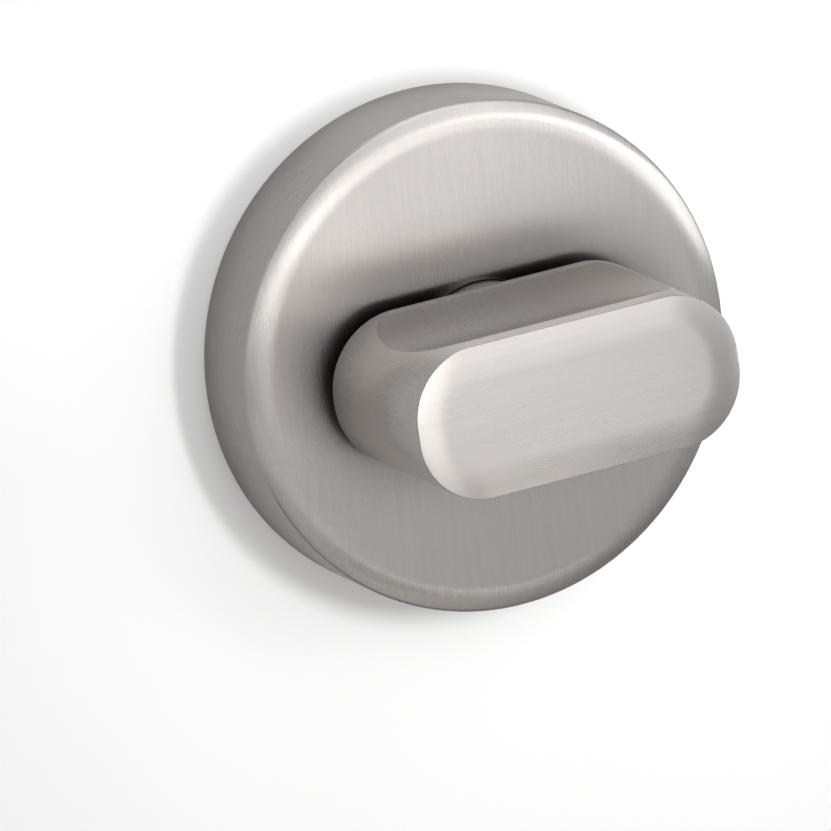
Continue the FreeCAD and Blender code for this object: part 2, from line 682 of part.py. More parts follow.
def make_spindle_pin():
    """Rolled spring pin that ties the spindle to the turn, held in by the bush."""
    body = new_body("spindle_pin", height="pin_height")
    radius = "pin_diameter / 2"
    reach = f"({JOURNAL_RADIUS} - free_clearance)"
    profile = new_sketch(body, "sheet_profile", "XY_Plane")
    draw_box(profile, f"-{reach}", f"{radius} - pin_wall", reach, radius)
    sheet = add_feature(body, "Revolution", "sheet", profile)
    sheet.ReferenceAxis = (profile, ["H_Axis"])
    bind(sheet, "Angle", "360 - pin_opening")
    document.recompute()


def make_fixing_screw(label, side):
    """Pan head screw: bevelled head with a cross recess, thin shank, then the thread."""
    body = new_body(label, height=SCREW_SEAT, across=f"{side} * {SCREW_OFFSET}")
    head, rise = "screw_head_diameter / 2", "screw_head_height"
    shank, thread = "screw_shank_diameter / 2", "screw_thread_diameter / 2"
    crown = "screw_head_height / 3"
    thread_start = f"(-1 * ({SCREW_SEAT} + lug_length + free_clearance))"
    thread_bevel = "(screw_thread_diameter - screw_shank_diameter) / 2"
    corners = [
        ("0", "-screw_length"),
        (shank, "-screw_length"),
        (thread, f"{thread_bevel} - screw_length"),
        (thread, f"{thread_start} - {thread_bevel}"),
        (shank, thread_start),
        (shank, "0"),
        (head, "0"),
        (head, f"{rise} - {crown}"),
        (f"{head} - {crown}", rise),
        ("0", rise),
    ]
    turn_profile(body, "screw", corners)
    recess = new_sketch(body, "recess_outline", "XY_Plane", height=rise)
    arm, half = "(screw_recess_length / 2)", "(screw_recess_width / 2)"
    corners = [(arm, half), (half, half), (half, arm)]
    outline = []
    for sign_x, sign_y in ((1, 1), (-1, 1), (-1, -1), (1, -1)):
        ordered = corners if sign_x * sign_y > 0 else corners[::-1]
        outline += [(f"{sign_x} * {across}", f"{sign_y} * {up}") for across, up in ordered]
    draw_outline(recess, outline)
    pocket(body, "recess", recess, "screw_recess_depth")


def make_screw_washer(label, side):
    """Plain washer that spreads the screw's load on the moulded base."""
    body = new_body(label, height="base_washer_floor", across=f"{side} * {SCREW_OFFSET}")
    inside, outside = "screw_hole_diameter / 2", "screw_washer_diameter / 2"
    thickness = "screw_washer_thickness"
    corners = [(inside, "0"), (outside, "0"), (outside, thickness), (inside, thickness)]
    turn_profile(body, "washer", corners)


def check_model():
    """Stop if a feature failed or a piece isn't one sound solid."""
    for item in document.Objects:
        for state in item.State:
            if state in ("Invalid", "Error"):
                raise RuntimeError(f"{item.Name} is {state}")
    for piece in pieces:
        shape = piece.Shape
        if shape.isNull() or not shape.isValid():
            raise RuntimeError(f"{piece.Label} has no valid shape")
        if len(shape.Solids) != 1:
            raise RuntimeError(f"{piece.Label} has {len(shape.Solids)} solids")


def write_pieces():
    """One STEP file for each piece, named after it."""
    os.makedirs("parts", exist_ok=True)
    for piece in pieces:
        piece.Shape.exportStep(os.path.join("parts", f"{piece.Label}.step"))
        box = piece.Shape.BoundBox
        print(f"{piece.Label:20s} volume {piece.Shape.Volume:9.1f}"
              f"  y {box.YMin:7.2f} to {box.YMax:7.2f}")


def main():
    fill_size_sheet()
    make_rose_cover()
    make_rose_base()
    make_thumb_turn()
    make_turned_rings()
    make_disc_spring()
    make_stop_washer()
    make_stop_pin()
    make_retaining_ring()
    make_cover_grip_ring()
    make_spindle()
    make_spindle_pin()
    for side_name, side in (("left", -1), ("right", 1)):
        make_fixing_screw(f"fixing_screw_{side_name}", side)
        make_screw_washer(f"screw_washer_{side_name}", side)
    document.recompute()
    check_model()
    write_pieces()


main()
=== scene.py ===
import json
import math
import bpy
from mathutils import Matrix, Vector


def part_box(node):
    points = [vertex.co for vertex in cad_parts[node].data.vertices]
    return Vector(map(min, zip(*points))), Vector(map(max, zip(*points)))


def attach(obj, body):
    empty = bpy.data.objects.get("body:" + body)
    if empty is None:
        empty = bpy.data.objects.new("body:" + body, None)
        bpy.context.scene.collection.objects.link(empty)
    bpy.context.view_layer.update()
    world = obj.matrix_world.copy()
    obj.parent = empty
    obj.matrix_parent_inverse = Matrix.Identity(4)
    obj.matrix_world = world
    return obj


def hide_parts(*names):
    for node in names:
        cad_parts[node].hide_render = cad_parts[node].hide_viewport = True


bl_info = {
    "name": "Thumb Turn Lock",
    "version": (1, 0, 0),
    "blender": (4, 5, 0),
    "location": "View3D > Sidebar > Thumb Turn",
    "description": "Dresses a bathroom thumb turn lock in satin steel and sets its stage",
    "category": "Add Mesh",
}

import bpy
import numpy as np
from mathutils import Matrix, Vector

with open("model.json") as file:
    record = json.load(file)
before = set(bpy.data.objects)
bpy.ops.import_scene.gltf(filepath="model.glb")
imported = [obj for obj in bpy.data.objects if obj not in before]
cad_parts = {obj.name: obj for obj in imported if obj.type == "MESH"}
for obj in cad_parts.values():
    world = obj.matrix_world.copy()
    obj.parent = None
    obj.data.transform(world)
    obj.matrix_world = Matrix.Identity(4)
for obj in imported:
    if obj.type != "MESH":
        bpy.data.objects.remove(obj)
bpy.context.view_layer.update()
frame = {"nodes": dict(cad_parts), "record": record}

MM = 0.001
FULL_TURN = 2 * math.pi
# The UV map holds the place along and across the brushing, the attribute how deep a point lies
# in a scooped grip, as a share of the grip's depth
BRUSH_MAP = "brush"
RECESS = "recess"

# The lock's frame: origin in the middle of the rose's back, +Y into the door, +Z up.
# Heights below are measured from the door towards the room, so a height h lies at y = -h.
ROSE_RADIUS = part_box("rose_cover")[1].x
ROSE_DEPTH = -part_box("rose_cover")[0].y
TURN_REACH = -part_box("thumb_turn")[0].y
SCREW_OFFSET = (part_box("fixing_screw_right")[0].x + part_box("fixing_screw_right")[1].x) / 2
SCREW_RADIUS = (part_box("fixing_screw_right")[1].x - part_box("fixing_screw_right")[0].x) / 2
SCREW_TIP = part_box("fixing_screw_right")[1].y
SCREW_TOP = -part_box("fixing_screw_right")[0].y
SCREW_THREAD, SCREW_SHANK, SCREW_CROWN = 2.0 * MM, 1.75 * MM, 0.73 * MM
JOURNAL_FLATS_TOP = 3.24 * MM

# Columns of the cover's grid in the rim's notch, and round the rest of the rim
NOTCH_COLUMNS, REST_COLUMNS = 9, 640

# The camera as fitted to the photo: azimuth, elevation and roll in degrees, its distance in
# metres, and how far it stands to the right and up, also in metres
CAMERA_ANGLES = (-20.87, 14.51, -9.0)
CAMERA_DISTANCE = 1.3917
CAMERA_SHIFT = (-0.002844, -0.00776)
CAMERA_LENS, CAMERA_SENSOR = 599.87, 36.0

# The door shows this share of its brightness in reflections, and it is open under the rose, so
# that the rose's back is lit when it is looked at from behind
REFLECTED_SHARE = 0.58
DOOR_HOLE = 25.9 * MM


def length(name, default, description):
    """A size in metres, shown as a length."""
    return bpy.props.FloatProperty(
        name=name, description=description, default=default, unit="LENGTH", precision=5
    )


def colour(name, default, description):
    """A colour, shown with Blender's colour picker."""
    return bpy.props.FloatVectorProperty(
        name=name, description=description, default=default, subtype="COLOR", size=3,
        min=0.0, max=1.0,
    )


def strength(name, default, description):
    """A brightness, in watts per square metre and steradian."""
    return bpy.props.FloatProperty(name=name, description=description, default=default, min=0.0)


class ThumbTurnRose(bpy.types.PropertyGroup):
    """Sizes of the rose's cover."""

    radius: length("Radius", ROSE_RADIUS, "Axis to the outside of the rose")
    depth: length("Depth", ROSE_DEPTH, "Door to the flat face")
    wall: length("Sheet", 1.2 * MM, "Thickness of the pressed sheet")
    roll_width: length("Roll Width", 3.0 * MM, "Width of the shallow roll round the face")
    roll_rise: length("Roll Rise", 0.8 * MM, "Rise of the roll from the crease to the face")
    hole_radius: length("Hole", 7.9 * MM, "Radius of the hole that the neck passes")
    notch_half: length("Notch Half Width", 3.0 * MM, "Half the width of the notch in the rim")
    notch_height: length("Notch Height", 1.3 * MM, "Height of the notch in the rim")


class ThumbTurnHead(bpy.types.PropertyGroup):
    """Sizes of the turn's head."""

    back_height: length("Back", 13.5 * MM, "Door to the back of the head")
    crease_height: length("Crease", 34.1 * MM, "Door to the edge round the front face")
    top_height: length("Top", TURN_REACH, "Door to the middle of the front face")
    back_half_length: length("Back Half Length", 17.9 * MM, "Axis to the end, at the back")
    back_half_width: length("Back Half Width", 7.9 * MM, "Axis to the side, at the back")
    back_corner: length("Back Corner", 7.7 * MM, "Corner radius at the back")
    front_half_length: length("Front Half Length", 17.35 * MM, "Axis to the end, at the crease")
    front_half_width: length("Front Half Width", 7.75 * MM, "Axis to the side, at the crease")
    front_corner: length("Front Corner", 6.95 * MM, "Corner radius at the crease")
    face_roll: length("Face Roll", 3.6 * MM, "Width of the soft roll inside the crease")
    grip_chord: length("Grip Chord", 17.5 * MM, "Height of the scooped grip")
    grip_depth: length("Grip Depth", 1.25 * MM, "Depth of the scooped grip")
    grip_lip: length("Grip Lip", 2.1 * MM, "Land between the grip and the crease")
    neck_radius: length("Neck", 7.8 * MM, "Radius of the turned neck")
    journal_radius: length("Journal", 6.0 * MM, "Radius of the journal")


class ThumbTurnFinishes(bpy.types.PropertyGroup):
    """Colours of the finishes."""

    satin: colour("Satin Steel", (0.62, 0.59, 0.57), "Brushed stainless steel")
    plated: colour("Plated Steel", (0.6, 0.61, 0.63), "Zinc plated steel")
    spring: colour("Spring Steel", (0.2, 0.19, 0.19), "Oiled spring steel")
    nylon: colour("Black Nylon", (0.045, 0.045, 0.048), "Moulded base")
    acetal: colour("White Acetal", (0.82, 0.81, 0.77), "Bearings and washers")


class ThumbTurnStage(bpy.types.PropertyGroup):
    """Brightness of the studio."""

    front: strength("Front Box", 0.78, "Soft box that the flat faces and the top roll reflect")
    wide: strength("Wide Box", 0.23, "Long faint soft box behind the others")
    upper: strength("Upper Box", 1.24, "Soft box above and to the right")
    top: strength("Top Box", 3.49, "Soft box high above, for the roll's upper edge")
    middle: strength("Middle Box", 0.56, "Narrow upright soft box in front of the lock")
    glow: strength("Glow Box", 4.14, "Small bright box for the left ends of head and roll")
    low: strength("Low Box", 1.77, "Bounce below, for the head's front")
    low_left: strength("Low Left Box", 0.44, "Bounce below, for the roll's lower left")
    corner: strength("Corner Box", 0.53, "Brighter lower end of the low left box")
    bounce: strength("Bounce Box", 0.39, "Wide bounce below, for the lower part of the roll")
    side: strength("Side Key", 3.81, "Lamp far to the right")
    shadow: strength("Wall Key", 60.0, "Lamp for the wall alone, which throws the lock's shadow")
    world: strength("Room", 0.46, "Plain light from all sides")
    bounce_tint: colour("Bounce Tint", (1.0, 0.955, 0.915), "Colour of the boxes below the lock")
    wall: colour("Wall", (0.83, 0.83, 0.83), "Door face behind the rose")


# ---------------------------------------------------------------- profiles and grids


def straight(start, end, count=2, support=0.08 * MM):
    """Points from start to end: the ends, and count points between them.

    Point = start + t * (end - start), with t evenly spaced from one point close to an end to
    another. The close points, at the distance support, keep the shading flat up to the edge.
    """
    start, end = np.array(start, float), np.array(end, float)
    near = min(support / np.linalg.norm(end - start), 0.3)
    steps = np.concatenate([[0.0], np.linspace(near, 1 - near, max(count, 2)), [1.0]])
    return start + steps[:, None] * (end - start)


def arc(centre, radius, first, last, count):
    """Points of a circle: centre + radius * (cos a, sin a), with a from first to last degrees."""
    turn = np.radians(np.linspace(first, last, count))
    return np.array(centre, float) + radius * np.stack([np.cos(turn), np.sin(turn)], -1)


def join_profile(*parts):
    """One profile from several, with points that repeat the one before left out."""
    points = np.concatenate(parts)
    apart = np.linalg.norm(np.diff(points, axis=0), axis=1) > 1e-7
    return points[np.concatenate([[True], apart])]


def turned_grid(profile, turns):
    """A profile of (radius, height) turned about the axis of the lock.

    Point = (r * cos t, -h, r * sin t) for each profile point (r, h) and each angle t.
    """
    radius, height = profile[:, 0, None], profile[:, 1, None]
    x = radius * np.cos(turns)
    z = radius * np.sin(turns)
    return np.stack([x, np.broadcast_to(-height, x.shape), z], -1)


def length_along(points):
    """Running length of a line of points: the sum of the steps so far."""
    steps = np.linalg.norm(np.diff(points, axis=-2), axis=-1)
    zero = np.zeros(steps.shape[:-1] + (1,))
    return np.concatenate([zero, np.cumsum(steps, axis=-1)], axis=-1)


def enclosed_volume(points, quads):
    """Volume inside a closed mesh of quads: the sum over its faces of the corner products.

    Each quad a b c d counts as the triangles a b c and a c d, each for a . (b x c) / 6.
    """
    a, b, c, d = (points[quads[:, k]] for k in range(4))
    first = np.einsum("ij,ij->i", a, np.cross(b, c))
    second = np.einsum("ij,ij->i", a, np.cross(c, d))
    return (first.sum() + second.sum()) / 6


def grid_piece(name, grid, body, node, slot, sharp_angle, brush=None, recess=None,
               closed_rows=False):
    """A closed piece from a grid of points whose columns run round it.

    Neighbouring points of the grid become quads. Its rows also join up where closed_rows is
    set, and otherwise the first and the last row are each closed with one face. brush gives
    each grid point, and one more column, its place along and across the brushing. recess
    gives each grid point its share of the depth of a scooped grip. Edges are sharp where the
    faces meet at more than sharp_angle degrees.
    """
    rows, columns = grid.shape[:2]
    points = grid.reshape(-1, 3)
    index = np.arange(rows * columns).reshape(rows, columns)
    below = np.arange(rows) if closed_rows else np.arange(rows - 1)
    above = (below + 1) % rows
    right = np.roll(index, -1, axis=1)
    quads = np.stack([index[below], right[below], right[above], index[above]], -1)
    quads = quads.reshape(-1, 4)
    caps = [] if closed_rows else [index[0][::-1].tolist(), index[-1].tolist()]
    inward = enclosed_volume(points - points.mean(axis=0), quads) < 0
    if inward:
        quads = quads[:, ::-1]
        caps = [cap[::-1] for cap in caps]

    mesh = bpy.data.meshes.new(name)
    mesh.from_pydata(points.tolist(), [], quads.tolist() + caps)
    if brush is not None:
        columns_left, columns_right = np.arange(columns), np.arange(1, columns + 1)
        corners = [
            brush[below][:, columns_left], brush[below][:, columns_right],
            brush[above][:, columns_right], brush[above][:, columns_left],
        ]
        places = np.stack(corners, 2).reshape(-1, 4, 2)
        if inward:
            places = places[:, ::-1]
        cap_points = [points[cap][:, [0, 2]] for cap in caps]
        places = np.concatenate([places.reshape(-1, 2)] + cap_points)
        layer = mesh.uv_layers.new(name=BRUSH_MAP)
        layer.data.foreach_set("uv", places.astype(np.float32).ravel())
    if recess is not None:
        layer = mesh.attributes.new(RECESS, "FLOAT", "POINT")
        layer.data.foreach_set("value", recess.astype(np.float32).ravel())
    mesh.polygons.foreach_set("use_smooth", np.ones(len(mesh.polygons), bool))
    mesh.set_sharp_from_angle(angle=math.radians(sharp_angle))
    mesh.validate()
    piece = bpy.data.objects.new(name, mesh)
    bpy.context.scene.collection.objects.link(piece)
    mesh.materials.append(material_of(slot))
    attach(piece, body)
    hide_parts(node)


# ---------------------------------------------------------------- shader node groups


def new_group(name, inputs, outputs):
    """An empty shader node group with named sockets: (name, socket type, default)."""
    group = bpy.data.node_groups.new(name, "ShaderNodeTree")
    for label, kind, default in inputs:
        socket = group.interface.new_socket(label, in_out="INPUT", socket_type=kind)
        socket.default_value = default
    for label, kind in outputs:
        group.interface.new_socket(label, in_out="OUTPUT", socket_type=kind)
    return group, group.nodes.new("NodeGroupInput"), group.nodes.new("NodeGroupOutput")


def add_node(tree, kind, values=None, **settings):
    """A node with its settings and the values of its input sockets."""
    node = tree.nodes.new(kind)
    for name, value in settings.items():
        setattr(node, name, value)
    for name, value in (values or {}).items():
        node.inputs[name].default_value = value
    return node


def add_map_range(tree, source, low, high, to_low, to_high):
    """A value carried from one range to another, held at the ends."""
    node = add_node(tree, "ShaderNodeMapRange", {
        "From Min": low, "From Max": high, "To Min": to_low, "To Max": to_high,
    })
    tree.links.new(source, node.inputs["Value"])
    return node.outputs["Result"]


def combined(tree, operation, first, second):
    """Two values joined by one step of arithmetic."""
    node = add_node(tree, "ShaderNodeMath", operation=operation)
    tree.links.new(first, node.inputs[0])
    tree.links.new(second, node.inputs[1])
    return node.outputs["Value"]


def scaled_colour(tree, tint, factor):
    """A colour times a value."""
    node = add_node(tree, "ShaderNodeVectorMath", operation="SCALE")
    tree.links.new(tint, node.inputs[0])
    tree.links.new(factor, node.inputs["Scale"])
    return node.outputs["Vector"]


def brushing_group():
    """Streaks of brushed metal: noise that is stretched along the brushing.

    Fine is the scratches themselves, Broad the slow change of tone between them.
    """
    group, source, result = new_group(
        "brushing",
        [
            ("Vector", "NodeSocketVector", (0, 0, 0)),
            ("Streak Size", "NodeSocketVector", (0.005, 0.00008, 0.00008)),
            ("Broad Size", "NodeSocketVector", (0.016, 0.0007, 0.0007)),
        ],
        [("Fine", "NodeSocketFloat"), ("Broad", "NodeSocketFloat")],
    )
    for size, output, detail in (("Streak Size", "Fine", 3.0), ("Broad Size", "Broad", 2.0)):
        divide = add_node(group, "ShaderNodeVectorMath", operation="DIVIDE")
        noise = add_node(group, "ShaderNodeTexNoise", {
            "Scale": 1.0, "Detail": detail, "Roughness": 0.6,
        })
        group.links.new(source.outputs["Vector"], divide.inputs[0])
        group.links.new(source.outputs[size], divide.inputs[1])
        group.links.new(divide.outputs["Vector"], noise.inputs["Vector"])
        value = add_map_range(group, noise.outputs["Fac"], 0.3, 0.7, 0.0, 1.0)
        group.links.new(value, result.inputs[output])


def handling_group():
    """Marks of use and making, from noise at two sizes.

    Patches are the soft areas where a finish has been wiped, Specks its fine grain.
    """
    group, source, result = new_group(
        "handling",
        [("Vector", "NodeSocketVector", (0, 0, 0)), ("Patch Size", "NodeSocketFloat", 0.012)],
        [("Patches", "NodeSocketFloat"), ("Specks", "NodeSocketFloat")],
    )
    invert = add_node(group, "ShaderNodeMath", operation="DIVIDE")
    invert.inputs[0].default_value = 1.0
    group.links.new(source.outputs["Patch Size"], invert.inputs[1])
    patches = add_node(group, "ShaderNodeTexNoise", {"Detail": 2.0, "Roughness": 0.5})
    specks = add_node(group, "ShaderNodeTexNoise", {
        "Scale": 2600.0, "Detail": 1.0, "Roughness": 0.5,
    })
    for noise in (patches, specks):
        group.links.new(source.outputs["Vector"], noise.inputs["Vector"])
    group.links.new(invert.outputs["Value"], patches.inputs["Scale"])
    value = add_map_range(group, patches.outputs["Fac"], 0.35, 0.65, 0.0, 1.0)
    group.links.new(value, result.inputs["Patches"])
    group.links.new(specks.outputs["Fac"], result.inputs["Specks"])


def place_group(tree, name, source, values=None):
    """A node group in a material, fed with a vector and its own values."""
    group = bpy.data.node_groups[name]
    node = add_node(tree, "ShaderNodeGroup", values, node_tree=group)
    tree.links.new(source, node.inputs["Vector"])
    return node


def new_material(name):
    """The nodes of a new material and its main shader, with nothing linked yet.

    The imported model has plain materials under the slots' own names, so these have a prefix.
    """
    material = bpy.data.materials.new("lock_" + name)
    material.use_nodes = True
    return material.node_tree, material.node_tree.nodes["Principled BSDF"]


def material_of(name):
    """The material made for a slot of the record, or for the stage."""
    return bpy.data.materials["lock_" + name]


def mix_colours(tree, mask, first, second):
    """The first colour where the mask is 0, the second where it is 1."""
    mix = add_node(tree, "ShaderNodeMix", data_type="RGBA")
    mix.inputs["A"].default_value = (*first, 1)
    mix.inputs["B"].default_value = (*second, 1)
    tree.links.new(mask, mix.inputs["Factor"])
    return mix.outputs["Result"]


def add_bump(tree, shader, height, distance, amount):
    """Relief from a height between 0 and 1 that stands for a distance in metres."""
    bump = add_node(tree, "ShaderNodeBump", {"Distance": distance, "Strength": amount})
    tree.links.new(height, bump.inputs["Height"])
    tree.links.new(bump.outputs["Normal"], shader.inputs["Normal"])


def shaded(tint, factor):
    """A colour made lighter or darker."""
    return tuple(min(channel * factor, 1.0) for channel in tint)


def painted_crevice_shade(tree, place):
    """Painted shade: share of the base colour kept where the head and rose stand close together.

    It falls from 1 to darkest as less of the space round a point is open. That space reaches
    further on the head, which lies in front of head_back, than on the rose. Behind the height
    at which the rose's roll begins, the share is always 1.
    """
    head_back, before_head = -13.6 * MM, -13.0 * MM
    head_reach, rose_reach = 15 * MM, 9 * MM
    roll_foot, side_top = -10.6 * MM, -10.2 * MM
    shut, clear, darkest = 0.42, 0.93, 0.22
    split = add_node(tree, "ShaderNodeSeparateXYZ")
    tree.links.new(place, split.inputs["Vector"])
    height = split.outputs["Y"]
    around = add_node(tree, "ShaderNodeAmbientOcclusion", samples=8)
    reach = add_map_range(tree, height, head_back, before_head, head_reach, rose_reach)
    tree.links.new(reach, around.inputs["Distance"])
    open_share = add_map_range(tree, around.outputs["AO"], shut, clear, darkest, 1.0)
    behind = add_map_range(tree, height, roll_foot, side_top, 0.0, 1.0)
    return combined(tree, "MAXIMUM", open_share, behind)


def satin_steel(name, tint, roughness):
    """Brushed stainless steel: streaks along the brushing in tone, gloss and relief.

    Painted shade darkens the scooped grips, and a painted highlight lightens a line along their
    rims.
    """
    tree, shader = new_material(name)
    place = add_node(tree, "ShaderNodeUVMap", uv_map=BRUSH_MAP)
    there = add_node(tree, "ShaderNodeTexCoord")
    streaks = place_group(tree, "brushing", place.outputs["UV"])
    marks = place_group(tree, "handling", there.outputs["Object"])
    both = combined(tree, "ADD", streaks.outputs["Fine"], streaks.outputs["Broad"])
    tone = add_map_range(tree, both, 0.0, 2.0, 0.0, 1.0)
    tinted = mix_colours(tree, tone, shaded(tint, 0.955), shaded(tint, 1.045))
    # Painted shade in the scooped grips, and a painted highlight as a lighter line along their
    # rims
    scoop = add_node(tree, "ShaderNodeAttribute", attribute_name=RECESS)
    rim = add_map_range(tree, scoop.outputs["Fac"], 0.0, 0.02, 1.0, 1.15)
    painted_grip_shade = add_map_range(tree, scoop.outputs["Fac"], 0.03, 0.15, 1.0, 0.52)
    painted_grip_shade_and_highlight = combined(tree, "MULTIPLY", rim, painted_grip_shade)
    # Painted crevice shade darkens the base colour between the head and the rose
    painted_light_and_shade = combined(tree, "MULTIPLY", painted_grip_shade_and_highlight, painted_crevice_shade(tree, there.outputs["Object"]))
    tree.links.new(scaled_colour(tree, tinted, painted_light_and_shade), shader.inputs["Base Color"])
    streaked = add_map_range(
        tree, streaks.outputs["Fine"], 0.0, 1.0, roughness - 0.05, roughness + 0.03
    )
    wiped = add_map_range(tree, marks.outputs["Patches"], 0.0, 1.0, 0.0, 0.05)
    tree.links.new(combined(tree, "ADD", wiped, streaked), shader.inputs["Roughness"])
    shader.inputs["Metallic"].default_value = 1.0
    shader.inputs["Anisotropic"].default_value = 0.93
    shader.inputs["Anisotropic Rotation"].default_value = 0.25
    tangent = add_node(tree, "ShaderNodeTangent", direction_type="UV_MAP", uv_map=BRUSH_MAP)
    tree.links.new(tangent.outputs["Tangent"], shader.inputs["Tangent"])
    add_bump(tree, shader, streaks.outputs["Fine"], 0.003 * MM, 0.5)


def plain_metal(name, tint, roughness, patch):
    """Plated or oiled steel: soft patches in tone and gloss, and a fine grain."""
    tree, shader = new_material(name)
    there = add_node(tree, "ShaderNodeTexCoord")
    marks = place_group(tree, "handling", there.outputs["Object"], {"Patch Size": patch})
    tinted = mix_colours(tree, marks.outputs["Patches"], shaded(tint, 0.9), shaded(tint, 1.08))
    tree.links.new(tinted, shader.inputs["Base Color"])
    rough = add_map_range(
        tree, marks.outputs["Patches"], 0.0, 1.0, roughness - 0.06, roughness + 0.06
    )
    tree.links.new(rough, shader.inputs["Roughness"])
    shader.inputs["Metallic"].default_value = 1.0
    add_bump(tree, shader, marks.outputs["Specks"], 0.01 * MM, 0.4)


def moulded_plastic(name, tint, roughness, relief):
    """Moulded plastic: one colour with slow change, and a fine sparked texture."""
    tree, shader = new_material(name)
    there = add_node(tree, "ShaderNodeTexCoord")
    marks = place_group(tree, "handling", there.outputs["Object"], {"Patch Size": 8 * MM})
    tinted = mix_colours(tree, marks.outputs["Patches"], shaded(tint, 0.92), shaded(tint, 1.06))
    tree.links.new(tinted, shader.inputs["Base Color"])
    rough = add_map_range(
        tree, marks.outputs["Specks"], 0.3, 0.7, roughness - 0.06, roughness + 0.06
    )
    tree.links.new(rough, shader.inputs["Roughness"])
    add_bump(tree, shader, marks.outputs["Specks"], relief, 0.6)


class OBJECT_OT_thumb_turn_finishes(bpy.types.Operator):
    """Make the finishes and give each carried-over CAD piece its own"""

    bl_idname = "object.thumb_turn_finishes"
    bl_label = "Finishes"
    bl_options = {"REGISTER", "UNDO"}

    def execute(self, context):
        finishes = context.scene.thumb_turn_finishes
        brushing_group()
        handling_group()
        satin_steel("satin_steel", tuple(finishes.satin), 0.28)
        plain_metal("plated_steel", tuple(finishes.plated), 0.34, 6 * MM)
        plain_metal("spring_steel", tuple(finishes.spring), 0.42, 4 * MM)
        moulded_plastic("black_nylon", tuple(finishes.nylon), 0.5, 0.02 * MM)
        moulded_plastic("white_acetal", tuple(finishes.acetal), 0.42, 0.006 * MM)
        for row in frame["record"]["subparts"]:
            node = frame["nodes"][row["node"]]
            node.data.materials.clear()
            node.data.materials.append(material_of(row["material_slot"]))
        return {"FINISHED"}


# ---------------------------------------------------------------- rose cover


def cover_profile(rose):
    """Section of the cover as (radius, height), once round the sheet.

    The rim's foot, the straight side, the crease, the roll, which is an arc tangent to the
    flat face, the face, the hole, and the same again inside with a round bend.
    """
    crease = rose.depth - rose.roll_rise
    roll = (rose.roll_width ** 2 + rose.roll_rise ** 2) / (2 * rose.roll_rise)
    foot, edge, lip = 0.12 * MM, 0.13 * MM, 0.1 * MM
    flat = rose.radius - rose.roll_width
    inside, under = rose.radius - rose.wall, rose.depth - rose.wall
    bend = 0.9 * MM
    start = math.degrees(math.asin((rose.roll_width - edge) / roll))
    swell = arc((flat, rose.depth - roll), roll, 90 - start, 90, 24)
    return join_profile(
        arc((rose.radius - foot, foot), foot, -90, 0, 7),
        straight((rose.radius, foot), (rose.radius, crease - edge), 12),
        arc((rose.radius - edge, crease - edge), edge, 0, 90 - start, 8),
        swell,
        straight(swell[-1], (rose.hole_radius + lip, rose.depth), 8),
        arc((rose.hole_radius + lip, rose.depth - lip), lip, 90, 180, 8),
        straight((rose.hole_radius, rose.depth - lip), (rose.hole_radius, under)),
        straight((rose.hole_radius, under), (inside - bend, under), 3),
        arc((inside - bend, under - bend), bend, 90, 0, 9),
        straight((inside, under - bend), (inside, 0), 4),
    )


def cover_turns(rose):
    """Angles of the columns: evenly spaced, with a close pair at each edge of the notch.

    The notch spans -a to a about the lowest point, where sin a = half its width / radius.
    """
    half = math.asin(rose.notch_half / rose.radius)
    pair = 0.0006
    notch = np.linspace(-half, half, NOTCH_COLUMNS)
    rest = np.linspace(half + pair, FULL_TURN - half - pair, REST_COLUMNS)
    return np.concatenate([notch, rest]) - math.pi / 2


def make_cover(rose):
    """The cover's section turned about the axis, with the rim lifted at the notch.

    In the notch a height h below m is carried to n + h * (m - n) / m, where n is the notch's
    height and m the height at which the lifting ends. The face is brushed upright with a lean
    of 4 degrees, the side round the axis.
    """
    profile = cover_profile(rose)
    turns = cover_turns(rose)
    grid = turned_grid(profile, turns)
    ends_at = 3 * MM
    height = -grid[..., 1]
    lifted = rose.notch_height + height * (ends_at - rose.notch_height) / ends_at
    in_notch = np.arange(len(turns)) < NOTCH_COLUMNS
    grid[..., 1] = -np.where(in_notch & (height < ends_at), lifted, height)

    radius, height = profile[:, 0, None], profile[:, 1, None]
    around = np.append(turns, turns[0] + FULL_TURN)
    lean = math.radians(4)
    x, z = radius * np.cos(around), radius * np.sin(around)
    face = np.stack([z * math.cos(lean) + x * math.sin(lean),
                     x * math.cos(lean) - z * math.sin(lean)], -1)
    side = np.stack([np.broadcast_to(rose.radius * around, x.shape),
                     np.broadcast_to(height, x.shape)], -1)
    crease = rose.depth - rose.roll_rise
    slack = 0.001 * MM
    on_side = (radius > rose.radius - rose.wall - slack) & (height < crease + slack)
    brush = np.where(on_side[..., None], side, face)
    grid_piece(
        "cover", grid, "rose", "rose_cover", "satin_steel", 50, brush, closed_rows=True
    )


class OBJECT_OT_thumb_turn_cover(bpy.types.Operator):
    """Make the pressed cover of the rose"""

    bl_idname = "object.thumb_turn_cover"
    bl_label = "Rose Cover"
    bl_options = {"REGISTER", "UNDO"}

    def execute(self, context):
        make_cover(context.scene.thumb_turn_rose)
        return {"FINISHED"}


# ---------------------------------------------------------------- thumb turn


def soft_minimum(first, second, blend):
    """The lower of two heights, rounded off where they come within blend of each other.

    min(a, b) - k * t^2 / 4, where t is the share of blend k that |a - b| leaves.
    """
    share = np.clip(blend - np.abs(first - second), 0, None) / blend
    return np.minimum(first, second) - blend * share ** 2 / 4


